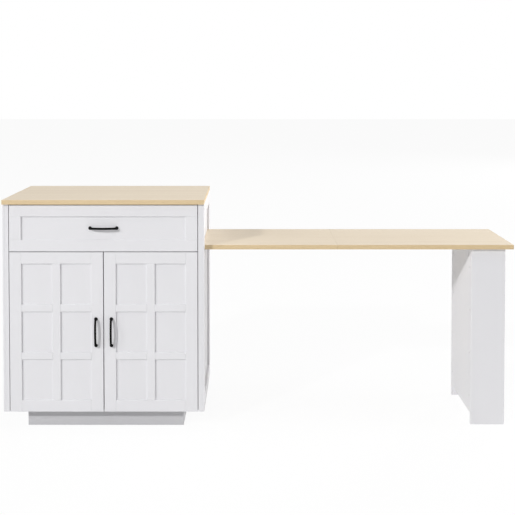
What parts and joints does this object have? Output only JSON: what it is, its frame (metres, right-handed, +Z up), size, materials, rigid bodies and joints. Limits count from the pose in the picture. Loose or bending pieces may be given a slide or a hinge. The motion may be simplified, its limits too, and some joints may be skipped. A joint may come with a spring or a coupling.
{
  "type": "drop leaf kitchen island",
  "caption": "Cabinet with a drawer over paired doors, and a long side leaf on a U-shaped leg that folds down against the cabinet.",
  "frame": {"origin": "on the floor, in the middle of the whole object's box with the leaf up and the fronts closed", "axes": "+X along the leaf from the cabinet to the leg, -Y out of the doors, +Z up"},
  "size_m": [2.0394, 0.5145, 0.92],
  "materials": {
    "white_lacquer": "satin white lacquer on fibreboard",
    "white_melamine": "white melamine on chipboard",
    "light_oak": "pale oak laminate, matt",
    "oak_edging": "oak-coloured edge strip",
    "black_metal": "satin black powder coat",
    "white_hardware": "white powder coat on steel",
    "plated_steel": "zinc or nickel plate"
  },
  "bodies": {
    "cabinet": {"worktop": "light_oak", "worktop_edging": "oak_edging", "left_side": "white_lacquer", "right_side": "white_lacquer", "left_side_frame": "white_lacquer", "right_side_frame": "white_lacquer", "bottom_panel": "white_melamine", "divider": "white_melamine", "top_rails": "white_melamine", "back_panel": "white_melamine", "back_panel_nails": "plated_steel", "plinth": "white_lacquer", "shelf": "white_melamine", "shelf_pins": "plated_steel", "carcass_fittings": "plated_steel", "carcass_screws": "plated_steel", "door_hinge_plates": "plated_steel", "door_hinge_arms": "plated_steel", "runner_cabinet_members": "plated_steel", "leaf_hinge_wall_flaps": "white_hardware", "leaf_hinge_pins": "plated_steel"},
    "inner_leaf": {"inner_leaf": "light_oak", "inner_leaf_edging": "oak_edging", "inner_seam_hinges": "plated_steel", "leaf_hinge_leaf_flaps": "white_hardware"},
    "outer_leaf": {"outer_leaf": "light_oak", "outer_leaf_edging": "oak_edging", "outer_seam_hinges": "plated_steel", "leg_hinge_leaf_flaps": "white_hardware"},
    "leg": {"leg_front_board": "white_lacquer", "leg_rear_board": "white_lacquer", "leg_panel": "white_lacquer", "leg_fittings": "plated_steel", "leg_hinge_leg_flaps": "white_hardware", "leg_hinge_pins": "plated_steel"},
    "drawer": {"drawer_front_rails": "white_lacquer", "drawer_front_stiles": "white_lacquer", "drawer_front_panel": "white_lacquer", "drawer_inner_front": "white_melamine", "drawer_sides": "white_melamine", "drawer_back": "white_melamine", "drawer_bottom": "white_melamine", "drawer_handle": "black_metal", "drawer_screws": "plated_steel", "runner_drawer_members": "plated_steel"},
    "runner_middles": {"runner_middle_members": "plated_steel"},
    "left_door": {"left_door_stiles": "white_lacquer", "left_door_rails": "white_lacquer", "left_door_panel": "white_lacquer", "left_door_bars": "white_lacquer", "left_door_handle": "black_metal", "left_door_hinge_cups": "plated_steel", "left_door_screws": "plated_steel"},
    "right_door": {"right_door_stiles": "white_lacquer", "right_door_rails": "white_lacquer", "right_door_panel": "white_lacquer", "right_door_bars": "white_lacquer", "right_door_handle": "black_metal", "right_door_hinge_cups": "plated_steel", "right_door_screws": "plated_steel"}
  },
  "joints": [
    {"name": "leaf_fold", "type": "hinge", "parent": "cabinet", "child": "inner_leaf", "pos_m": [-0.22625, 0.01225, 0.7125], "axis": [0, 1, 0], "range_deg": [0, 90]},
    {"name": "seam_fold", "type": "hinge", "parent": "inner_leaf", "child": "outer_leaf", "pos_m": [0.31275, 0.01225, 0.73375], "axis": [0, 1, 0], "range_deg": [-180, 0]},
    {"name": "leg_fold", "type": "hinge", "parent": "outer_leaf", "child": "leg", "pos_m": [0.85175, 0.01225, 0.7125], "axis": [0, 1, 0], "range_deg": [0, 90]},
    {"name": "drawer_slide", "type": "slide", "parent": "cabinet", "child": "drawer", "axis": [0, -1, 0], "range_m": [0, 0.36]},
    {"name": "runner_slide", "type": "slide", "parent": "cabinet", "child": "runner_middles", "axis": [0, -1, 0], "range_m": [0, 0.18]},
    {"name": "left_door_hinge", "type": "hinge", "parent": "cabinet", "child": "left_door", "pos_m": [-0.99325, -0.23275, 0.3915], "axis": [0, 0, -1], "range_deg": [0, 105]},
    {"name": "right_door_hinge", "type": "hinge", "parent": "cabinet", "child": "right_door", "pos_m": [-0.24625, -0.23275, 0.3915], "axis": [0, 0, 1], "range_deg": [0, 105]}
  ],
  "couplings": [
    {"joint": "seam_fold", "follows": "leaf_fold", "ratio": -2},
    {"joint": "leg_fold", "follows": "leaf_fold", "ratio": 1},
    {"joint": "runner_slide", "follows": "drawer_slide", "ratio": 0.5}
  ]
}
